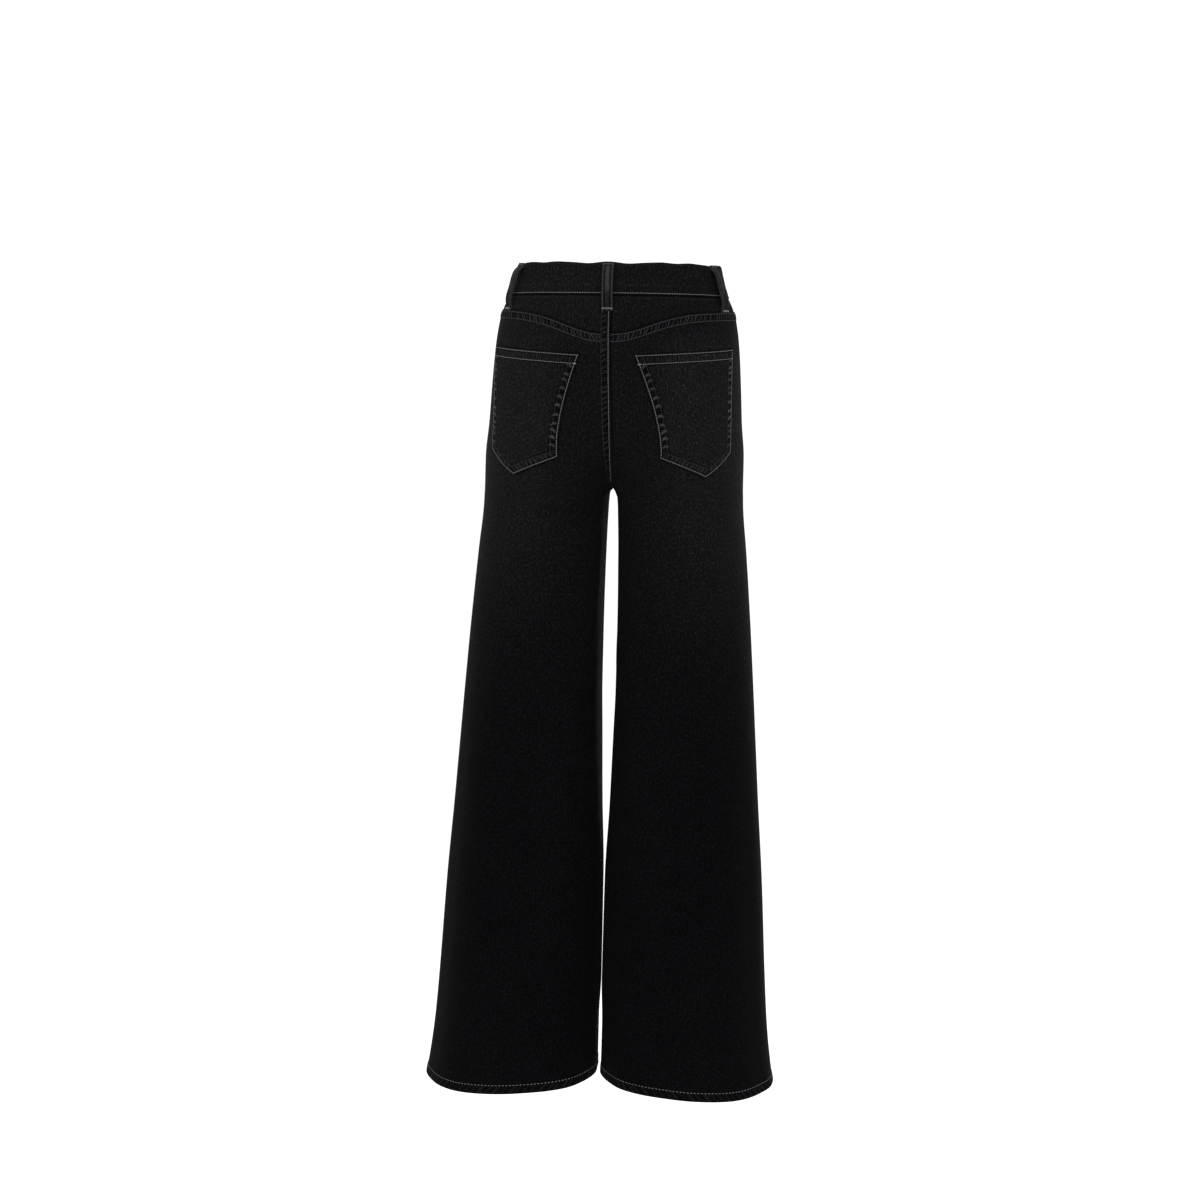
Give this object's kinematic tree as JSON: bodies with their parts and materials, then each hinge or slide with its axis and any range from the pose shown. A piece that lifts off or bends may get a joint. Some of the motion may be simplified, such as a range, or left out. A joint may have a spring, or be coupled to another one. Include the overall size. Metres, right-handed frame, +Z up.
{
  "type": "wide leg jeans",
  "caption": "Wide leg jeans in washed black denim, hollow in worn form, with yoke, patch pockets, belt loops, fly and waist button.",
  "frame": {"origin": "centre of the waistband at mid height, where the wearer holds the jeans up", "axes": "+Z up out of the waist, the front faces -Y, the wearer's left side is at +X"},
  "size_m": [0.4719, 0.2315, 1.1038],
  "materials": {
    "leg_denim": "washed black twill, matt",
    "seat_denim": "washed black twill, matt, slightly faded",
    "band_denim": "washed black twill, double, matt",
    "thread": "grey polyester sewing thread",
    "zip_tape": "woven tape",
    "button_metal": "dark nickel, satin"
  },
  "bodies": {
    "root": {"back_left": "leg_denim", "back_right": "leg_denim", "front_left": "leg_denim", "front_right": "leg_denim", "yoke_left": "seat_denim", "yoke_right": "seat_denim", "front_pocket_facing_left": "seat_denim", "front_pocket_facing_right": "seat_denim", "back_pocket_left": "seat_denim", "back_pocket_right": "seat_denim", "waistband_left": "band_denim", "waistband_right": "band_denim", "belt_loop_centre_back": "band_denim", "belt_loop_back_left": "band_denim", "belt_loop_back_right": "band_denim", "belt_loop_front_left": "band_denim", "belt_loop_front_right": "band_denim", "fly_shield": "seat_denim", "fly_zip": "zip_tape", "zip_slider": "button_metal", "waist_button": "button_metal"}
  },
  "joints": []
}
